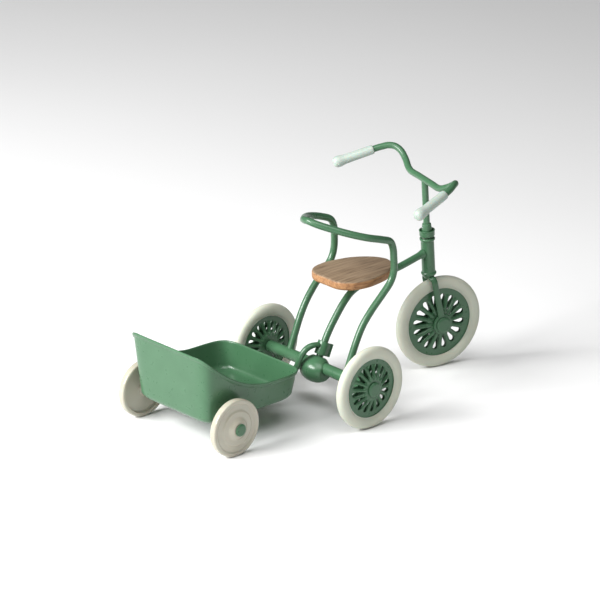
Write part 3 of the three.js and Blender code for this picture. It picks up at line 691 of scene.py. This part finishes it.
def plate_shape(rim):
    """A pressed disc about Z with pleated spokes between its slots, its face towards +Z."""
    inner = rim * SLOT_FROM
    outer = rim * SLOT_TO
    wide = rim * SLOT_HALF
    rounding = SLOT_ROUNDING * wide
    reaches = [
        *np.linspace(BORE, HUB - 0.3, 4),
        *np.linspace(HUB, inner - 0.1, 6),
        *(inner + np.array([0, 0.04, 0.12, 0.25])),
        *np.linspace(inner + 0.5, outer - rounding, 12),
        *(outer - rounding * np.array([0.8, 0.6, 0.4, 0.22, 0.1, 0.03])),
        *(outer + np.array([0, 0.2, 0.5])),
        *np.linspace(outer + 0.9, rim - 0.4, 4),
        rim + PLATE_LAP,
    ]
    columns = np.linspace(-1, 1, 13)
    across = len(columns)
    sector = math.pi / SLOTS
    points, faces = [], []
    for spoke in range(SLOTS):
        middle = (2 * spoke + 1) * sector
        start = len(points)
        for reach in reaches:
            gap = slot_half_width(reach, inner, outer, wide)
            span = sector - math.asin(gap / reach)
            rise = min(max((outer - reach) / (outer - HUB), 0), 1)
            face = PLATE_FACE + PLATE_DISH * rise
            swell = min(max((reach - HUB + 0.4) / 1.8, 0), 1) * min(max((outer + 0.5 - reach) / 3.4, 0), 1)
            swell = swell * swell * (3 - 2 * swell)
            for column in columns:
                ridge = PLEAT * swell * (math.cos(column * math.pi / 2) ** 0.8 - 0.62)
                angle = middle + span * column
                points.append((reach * math.cos(angle), reach * math.sin(angle), face + ridge))
        for r in range(len(reaches) - 1):
            for c in range(across - 1):
                a = start + r * across + c
                faces.append((a, a + 1, a + across + 1, a + across))
    return thickened(points, faces, PLATE)


def thickened(points, faces, thick):
    """The sheet through the points, made solid towards -Z."""
    mesh = bpy.data.meshes.new("sheet")
    mesh.from_pydata(points, [], faces)
    edit = bmesh.new()
    edit.from_mesh(mesh)
    bmesh.ops.remove_doubles(edit, verts=edit.verts, dist=0.004)
    bmesh.ops.recalc_face_normals(edit, faces=edit.faces)
    if sum(face.normal.z for face in edit.faces) < 0:
        bmesh.ops.reverse_faces(edit, faces=edit.faces)
    edit.verts.index_update()
    top = [vertex.co.copy() for vertex in edit.verts]
    sides = [tuple(v.index for v in face.verts) for face in edit.faces]
    count = len(top)
    walls = []
    for edge in edit.edges:
        if len(edge.link_faces) == 1:
            loop = next(one for one in edge.link_faces[0].loops if one.edge == edge)
            a = loop.vert.index
            b = loop.link_loop_next.vert.index
            walls.append((b, a, a + count, b + count))
    edit.free()
    bpy.data.meshes.remove(mesh)
    low = [point - Vector((0, 0, thick)) for point in top]
    under = [tuple(i + count for i in face[::-1]) for face in sides]
    return top + low, [*sides, *under, *walls]


def cap_shape(radius, height):
    dome = [
        (0, 0), (radius, 0, 0.1), (radius, height * 0.45, 0.3), (radius * 0.8, height * 0.88, 1.2),
        (0, height),
    ]
    return turned(dome)


def add_wheel(prefix, place, body, radius, rim):
    """A tyre between two plates on a sleeve; place has the wheel's axis along X."""
    tyre = tyre_shape(radius, rim)
    add_piece(f"{prefix}_rubber", tyre, place @ TO_LEFT, "tyre_rubber", body, [f"{prefix}_tyre"], 30)
    plate = plate_shape(rim)
    for name, _, turn in SIDES:
        nodes = [f"{prefix}_plate_{name}"]
        add_piece(f"{prefix}_disc_{name}", plate, place @ turn, "green_paint", body, nodes, 48)
    half = PLATE_FACE - PLATE + PLATE_DISH - 3 * GAP
    sleeve = ring([(BORE, -half), (2.4, -half), (2.4, half), (BORE, half)], 0.15, 48)
    add_piece(f"{prefix}_spacer", sleeve, place @ TO_LEFT, "bright_steel", body, [f"{prefix}_hub_sleeve"])


def add_rear_wheels():
    reach = HALF_TRACK + PLATE_FACE + PLATE_DISH + GAP
    cap = cap_shape(3.6, 1.0)
    for name, side, turn in SIDES:
        place = TRIKE @ at(side * HALF_TRACK, 0, AXLE_Z) @ Matrix.Rotation(REAR_SPIN, 4, "X")
        add_wheel(f"rear_{name}", place, f"rear_{name}_wheel", AXLE_Z, REAR_RIM)
        outside = TRIKE @ at(side * reach, 0, AXLE_Z) @ turn
        add_piece(f"rear_{name}_hub_cap", cap, outside, "green_paint", "frame", [f"rear_{name}_cap"])


# ---------------------------------------------------------------- head and steering
def add_head():
    top = HEAD_LENGTH
    tube = [
        (HEAD_BORE, 0), (3.4, 0), (3.75, 0.4), (3.75, 1.1), (3.25, 1.7, 0.5), (3.25, top - 1.7, 0.5),
        (3.75, top - 1.1), (3.75, top - 0.4), (3.4, top), (HEAD_BORE, top),
    ]
    add_piece("head_barrel", ring(tube, 0.25), HEAD, "green_paint", "frame", ["head_tube"])
    inside = BAR + GAP
    outside = HEAD_BORE - 0.1
    for name, foot in (("lower", 0.2), ("upper", top - BUSH_LENGTH - 0.2)):
        head = foot + BUSH_LENGTH
        bush = ring([(inside, foot), (outside, foot), (outside, head), (inside, head)], 0.1, 64)
        add_piece(f"bush_{name}", bush, HEAD, "white_nylon", "frame", [f"head_bush_{name}"])


def add_steering():
    add_stem()
    add_handlebar()
    add_fork()


def add_stem():
    bore = BAR + GAP
    cup = HEAD_LENGTH + 0.6
    collar = [
        (bore, cup), (3.3, cup), (3.75, cup + 0.6, 0.3), (3.75, cup + 2.6, 0.4), (3.9, cup + 3.3, 0.12),
        (3.5, cup + 3.4, 0.12), (3.1, cup + 2.6, 0.3), (3.0, cup + 1.2), (bore, cup + 1.0),
    ]
    add_piece("collar", ring(collar, 0.15), STEERED, "green_paint", "steering", ["collar_cup"])
    foot = cup + 1.3
    inside = BAR + 0.02
    taper = [(inside, foot), (2.6, foot), (2.6, foot + 1.2, 0.4), (2.15, foot + 5.2), (inside, foot + 5.4)]
    add_piece("cone", ring(taper, 0.2), STEERED, "green_paint", "steering", ["stem_cone"])
    stem = turned([(0, 0.1), (BAR, 0.1), (BAR, STEM_TOP - 0.4), (0, STEM_TOP - 0.4)], 0.2)
    add_piece("stem", stem, STEERED, "green_paint", "steering", ["stem_rod"])
    grub = turned([(0, 0.1), (0.22, 0.1), (0.26, 0.5), (0.5, 0.55), (0.5, 0), (0, 0)], 0.04, 32)
    towards = STEERED @ Matrix.Rotation(math.radians(75), 4, "Z")
    grub_place = towards @ at(2.0, 0, foot + 3.6) @ TO_LEFT
    add_piece("grub", grub, grub_place, "bright_steel", "steering", ["stem_grub_screw"])


def along_grip(distance):
    return tuple(GRIP_START + GRIP_ALONG * distance)


def add_handlebar():
    half = [
        (7, 0, STEM_TOP), (13.4, 0, STEM_TOP), (16.8, -0.4, STEM_TOP + 0.9), (21.6, -1.6, 52.4),
        (26.2, -1.7, 55.2), (29.3, -0.4, 56.7), (31.8, 2.0, 57.0), (33.6, 4.7, 56.3),
        along_grip(-1.6), along_grip(0), along_grip(8), along_grip(18),
    ]
    bar = [*mirrored(half), (0, 0, STEM_TOP), *half]
    add_piece("handlebar_rod", rod(bar, BAR, 360), BAR_PLACE, "green_paint", "steering", ["handlebar"])
    inside = BAR + 0.02
    corners = [
        (0, GRIP_BORE_DEPTH), (inside, GRIP_BORE_DEPTH), (inside, 0), (2.15, 0, 0.25), (2.3, 1.3, 0.6),
        (2.32, 8, 1), (2.35, 14.2, 1), (2.62, 16.0, 0.8), (2.88, 17.7, 0.9), (2.65, 19.4, 0.9),
        (1.6, 20.45, 0.7), (0, 20.6),
    ]
    grip = turned(corners, 0.1)
    for name, side, _ in SIDES:
        start = Vector((side * GRIP_START.x, GRIP_START.y, GRIP_START.z))
        along = Vector((side * GRIP_ALONG.x, GRIP_ALONG.y, GRIP_ALONG.z))
        place = BAR_PLACE @ Matrix.Translation(start) @ along.to_track_quat("Z", "Y").to_matrix().to_4x4()
        add_piece(f"handgrip_{name}", grip, place, "grip_plastic", "steering", [f"{name}_grip"])


def fork_section(share):
    """The fork strip's half-widths, a little broader towards its ends."""
    return 1.55 + 0.15 * abs(2 * share - 1), LEG_WIDTH_HALF


def add_fork():
    leg_x = LEG_IN + LEG_THICK / 2
    crown = -CROWN_UNDER - LEG_WIDTH_HALF
    straight = [(leg_x, -HUB_AHEAD * share, -HUB_DOWN * share) for share in (1, 0.7, 0.4, 0.2)]
    half = [*straight, (leg_x, -HUB_AHEAD * 0.12, -3.3), (leg_x - 0.9, -0.15, crown - 0.3)]
    path = [*half, (0, 0, crown), *mirrored(half)]
    legs = swept(curve_through(path, 200), fork_section, 0.2, (1, 0, 0))
    eye = ring([(AXLE + 0.1, -0.75), (EYE, -0.75), (EYE, 0.75), (AXLE + 0.1, 0.75)], 0.45)
    eyes = [moved(eye, at(side * leg_x, -HUB_AHEAD, -HUB_DOWN) @ TO_LEFT) for _, side, _ in SIDES]
    boss = turned([(0, -1.9), (2.2, -1.9, 0.4), (2.9, -0.5, 0.4), (2.9, -0.12), (0, -0.12)], 0.1)
    add_piece("fork_legs", together(legs, *eyes, boss), STEERED, "green_paint", "steering", ["fork"])

    outside = LEG_IN + LEG_THICK
    hub = STEERED @ at(0, -HUB_AHEAD, -HUB_DOWN)
    axle = axle_rod(outside)
    add_piece("front_axle_rod", axle, hub @ TO_LEFT, "bright_steel", "steering", ["front_axle"])
    cap = cap_shape(3.9, 1.0)
    for name, side, turn in SIDES:
        place = hub @ at(side * (outside + GAP), 0, 0) @ turn
        add_piece(f"front_hub_cap_{name}", cap, place, "green_paint", "steering", [f"front_{name}_cap"])
    spun = hub @ Matrix.Rotation(FRONT_SPIN, 4, "X")
    add_wheel("front", spun, "front_wheel", FRONT_RADIUS, FRONT_RIM)


# ---------------------------------------------------------------- trailer
def tub_plan(angle, side, rear, front):
    """A point of the tub's outline, drawn in from the rim by the given amounts."""
    behind = math.sin(angle) > 0
    power = 2 / (TUB_REAR_SQUARE if behind else TUB_FRONT_SQUARE)
    reach = TUB_REAR - rear if behind else TUB_FRONT - front
    across = math.copysign(abs(math.cos(angle)) ** power, math.cos(angle))
    along = math.copysign(abs(math.sin(angle)) ** power, math.sin(angle))
    return across * (TUB_WIDE - side), TUB_MIDDLE + along * reach


def tub_rim(y):
    """The rim's height, which rises towards the rear."""
    along = min(max((y - TUB_RAMP_START) / TUB_RAMP_RUN, 0), 1)
    return TUB_LOW_RIM + (TUB_HIGH_RIM - TUB_LOW_RIM) * along**TUB_RAMP_POWER


def tub_angles(steps):
    """Angles that step evenly round the outline."""
    fine = np.linspace(0, 2 * math.pi, 7201)
    plan = np.array([tub_plan(angle, 0, 0, 0) for angle in fine])
    reach = np.concatenate([[0], np.cumsum(np.linalg.norm(np.diff(plan, axis=0), axis=1))])
    return np.interp(np.linspace(0, reach[-1], steps, endpoint=False), reach, fine)


def tub_shape():
    """The tub's sheet as rings of points: up the inside, over the rim and down the outside."""
    angles = tub_angles(360)
    bend_top = TUB_FLOOR + TUB_ROUND
    side, rear, front = TUB_LEAN
    rings = []

    def wall(depth, inset):
        """A ring at a depth below the rim; a negative one is a share of the wall's height."""
        line = []
        for angle in angles:
            y_rim = tub_plan(angle, 0, 0, 0)[1]
            tall = tub_rim(y_rim) - bend_top
            share = min(depth / tall, 1.0) if depth >= 0 else -depth
            x, y = tub_plan(angle, side * share + inset, rear * share + inset, front * share + inset)
            line.append((x, y, tub_rim(y_rim) - tall * share))
        rings.append(line)

    def bend(degrees, thick):
        """A ring on the rounding between wall and floor."""
        turn = math.radians(degrees)
        radius = TUB_ROUND - thick
        inset = radius * (1 - math.cos(turn)) + thick
        line = []
        for angle in angles:
            x, y = tub_plan(angle, side + inset, rear + inset, front + inset)
            line.append((x, y, bend_top - radius * math.sin(turn)))
        rings.append(line)

    for degrees in range(90, -1, -15):
        bend(degrees, TUB_SHEET)
    for share in (0.85, 0.6, 0.4):
        wall(-share, TUB_SHEET)
    for depth in (2.4, 2.1, 1.8, 1.0, 0.5):
        wall(depth, TUB_SHEET)
    lip = TUB_SHEET / 2
    for degrees in (30, 60, 90, 120, 150):
        turn = math.radians(degrees)
        wall(lip - lip * math.sin(turn), lip + lip * math.cos(turn))
    beaded = ((0.5, 0), (1.0, 0), (1.5, 0), (1.7, 0.12), (1.85, 0.38), (2.2, TUB_BEAD), (2.8, TUB_BEAD))
    for depth, inset in beaded:
        wall(depth, inset)
    for share in (0.4, 0.6, 0.85):
        wall(-share, TUB_BEAD * (1 - share))
    for degrees in range(0, 91, 15):
        bend(degrees, 0)
    points = [point for line in rings for point in line]
    return with_axle_ridge((points, closed_rings(len(rings), len(angles))))


def with_axle_ridge(tub):
    """The tub with a ridge pressed up across its floor, hollow underneath for the axle."""
    at_axle = at(0, 0, TRAILER_AXLE.z)
    low_side = TUB_WIDE - TUB_LEAN[0]
    past_ridge = TRAILER_AXLE.z + AXLE_ROOM + TUB_SHEET + 2
    half = [
        (-low_side, past_ridge), (-low_side + 0.02, TUB_FLOOR + TUB_ROUND),
        (-low_side + 1.2, TUB_FLOOR + 1.2), (-low_side + TUB_ROUND, TUB_FLOOR),
    ]
    inside_tub = moved(prism([*half, *mirrored(half)], -4, 4, 0.01), Matrix.Rotation(math.pi / 2, 4, "X"))
    bar = moved(cross_bar(AXLE_ROOM + TUB_SHEET, TUB_WIDE), at_axle)
    ridged = combined(tub, combined(bar, inside_tub, "INTERSECT"), "UNION")
    hollowed = combined(ridged, moved(cross_bar(AXLE_ROOM, 40), at_axle), "DIFFERENCE")
    slot = [(-40, -AXLE_ROOM), (40, -AXLE_ROOM), (40, AXLE_ROOM), (-40, AXLE_ROOM)]
    below = prism(slot, TRAILER_AXLE.z - 8, TRAILER_AXLE.z, 0.01)
    return combined(hollowed, below, "DIFFERENCE")


def strip_outline(line, thick):
    """The outline of a strip of sheet that is bent along a line."""
    line = np.array(line, float)
    ahead = unit_rows(np.gradient(line, axis=0))
    across = np.stack([-ahead[:, 1], ahead[:, 0]], axis=1) * thick / 2
    return [*(line - across), *(line + across)[::-1]]


def pressed_at_eye(share):
    """The drawbar's half-widths, flattened where it is held in the clip."""
    pressed = max(0, 1 - share / 0.06)
    return DRAWBAR * (1 + 0.15 * pressed), DRAWBAR * (1 - 0.25 * pressed)


def add_trailer():
    add_piece("tub", tub_shape(), TRAILER, "green_paint", "trailer", ["trailer_tub"], 42)
    add_drawbar()
    add_trailer_wheels()


def add_drawbar():
    under = TUB_FLOOR - GAP - DRAWBAR
    to_trailer = TRAILER.inverted() @ TRIKE
    from_clip = [
        (0.3, -1.2, 30.2), (1.0, 2.5, 30.1), (2.0, 5.2, 28.6), (3.3, 7.3, 24.9), (4.5, 8.6, 20.0),
        (6.0, 10.5, 16.0), (7.6, 14.9, under), (9.6, 23.5, under),
    ]
    below_tub = [(0, -30, under), (0, -12, under), (0, -1.2, under)]
    path = [*(tuple(to_trailer @ Vector(point)) for point in from_clip), *below_tub]
    bar = swept(curve_through(path, 260), pressed_at_eye)
    add_piece("drawbar_rod", bar, TRAILER, "green_paint", "trailer", ["drawbar"])

    radius = CLIP_IN + CLIP_SHEET / 2
    turns = [math.radians(90 + degrees) for degrees in range(-CLIP_WRAP, CLIP_WRAP + 1, 4)]
    arc = [(radius * math.cos(turn), radius * math.sin(turn)) for turn in turns]
    end_x, end_y = arc[0]
    flares = ((1.1, 1.5), (0.65, 1.15), (0.3, 0.8), (0.08, 0.4))
    lip = [(end_x + out, end_y - down) for out, down in flares]
    line = [*lip, *arc, *mirrored(lip)]
    strap = prism(strip_outline(line, CLIP_SHEET), -CLIP_HEIGHT / 2, CLIP_HEIGHT / 2, 0.15)
    hitch = Matrix.Translation(to_trailer @ Vector(up_housing(HITCH_UP)))
    lean = Matrix.Rotation(LEAN, 4, "X") @ Matrix.Rotation(CLIP_TURN, 4, "Z")
    add_piece("spring_clip", strap, TRAILER @ hitch @ lean, "green_paint", "trailer", ["hitch_clip"])


def add_trailer_wheels():
    end = TRAILER_TRACK + TRAILER_WHEEL_HALF + TRAILER_HUB + 0.04
    stop = TRAILER_TRACK - TRAILER_WHEEL_HALF - GAP
    half = [(0.9, stop - 0.8), (1.7, stop - 0.8), (1.7, stop), (0.9, stop), (0.9, end), (0, end)]
    axle = TRAILER @ at(0, 0, TRAILER_AXLE.z)
    axle_bar = turned([*flipped(half), *half], 0.1, 48)
    add_piece("trailer_axle_rod", axle_bar, axle @ TO_LEFT, "bright_steel", "trailer", ["trailer_axle"])

    edge = TRAILER_WHEEL
    w = TRAILER_WHEEL_HALF
    corners = [
        (1.2, -w), (3.2, -w), (3.2, -0.4), (11.7, -0.4), (11.9, -w), (edge - 0.5, -w, 0.3),
        (edge, -w + 0.5, 0.4), (edge, w - 0.5, 0.4), (edge - 0.5, w, 0.3), (12.0, w, 0.3),
        (11.4, w - 0.5, 0.4), (8.9, w - 0.3, 0.5), (8.3, w + 0.3, 0.5), (5.6, w + 0.5, 0.6),
        (4.4, w + 1.6, 0.7), (3.4, w + TRAILER_HUB, 0.4), (1.2, w + TRAILER_HUB),
    ]
    wheel = ring(corners, 0.15, 160)
    cap = cap_shape(3.0, 0.9)
    for name, side, turn in SIDES:
        node = f"trailer_{name}_wheel"
        place = axle @ at(side * TRAILER_TRACK, 0, 0)
        add_piece(f"moulded_wheel_{name}", wheel, place @ turn, "cream_plastic", node, [node], 50)
        outside = place @ at(side * (w + TRAILER_HUB + GAP), 0, 0) @ turn
        nodes = [f"trailer_{name}_cap"]
        add_piece(f"trailer_hub_cap_{name}", cap, outside, "green_paint", "trailer", nodes)


add_rear_frame()
add_seat()
add_rear_wheels()
add_head()
add_steering()
add_trailer()


# ---------------------------------------------------------------- floor, light and camera
def add_floor():
    look = Look("pale_floor")
    tone = look.ramp(look.noise(3, 3), [(0.3, (0.86, 0.86, 0.86)), (0.7, (0.88, 0.88, 0.88))])
    look.join(tone, "Base Color")
    look.set(Roughness=0.9, Specular_IOR_Level=0.1)
    mesh = bpy.data.meshes.new("floor")
    half = 6.0
    corners = [(-half, -half, 0), (half, -half, 0), (half, half, 0), (-half, half, 0)]
    mesh.from_pydata(corners, [], [(0, 1, 2, 3)])
    mesh.materials.append(look.material)
    floor = bpy.data.objects.new("floor", mesh)
    bpy.context.scene.collection.objects.link(floor)


def add_light(name, place, size, power):
    """A white area light, turned towards the object's middle."""
    data = bpy.data.lights.new(name, "AREA")
    data.shape = "RECTANGLE"
    data.size, data.size_y = size
    data.energy = power
    light = bpy.data.objects.new(name, data)
    light.location = place
    light.rotation_mode = "QUATERNION"
    light.rotation_quaternion = (Vector((0, 0, 0.05)) - Vector(place)).to_track_quat("-Z", "Y")
    bpy.context.scene.collection.objects.link(light)


def add_lights():
    add_light("key", (0.25, 0.95, 0.62), (0.7, 0.55), 25.0)
    add_light("top", (-0.35, 0.35, 1.1), (0.8, 0.8), 7.5)
    add_light("fill", (-0.95, -0.2, 0.45), (0.6, 0.6), 0.35)
    world = bpy.data.worlds.new("studio")
    world.use_nodes = True
    background = world.node_tree.nodes["Background"]
    background.inputs["Color"].default_value = (1.0, 1.0, 1.0, 1.0)
    background.inputs["Strength"].default_value = 0.13
    bpy.context.scene.world = world
    bpy.context.scene.view_settings.view_transform = "Standard"
    bpy.context.scene.view_settings.look = "None"


def add_camera():
    azimuth = math.radians(228.27)
    elevation = math.radians(20.56)
    roll = math.radians(0.64)
    looked_at = Vector((50.86, -34.38, 30.0))
    distance = 1709.58
    back = Vector((
        math.sin(azimuth) * math.cos(elevation),
        -math.cos(azimuth) * math.cos(elevation),
        math.sin(elevation),
    ))
    right = Vector((0, 0, 1)).cross(back).normalized()
    up = back.cross(right)
    level_right = right * math.cos(roll) + up * math.sin(roll)
    level_up = up * math.cos(roll) - right * math.sin(roll)
    spot = TRIKE @ (looked_at + back * distance)
    data = bpy.data.cameras.new("camera")
    data.lens = 210
    data.sensor_width = 36
    data.clip_start = 0.05
    data.clip_end = 30
    camera = bpy.data.objects.new("camera", data)
    axes = Matrix((level_right, level_up, back)).transposed().to_4x4()
    camera.matrix_world = Matrix.Translation(spot) @ axes
    bpy.context.scene.collection.objects.link(camera)
    bpy.context.scene.camera = camera


add_floor()
add_lights()
add_camera()
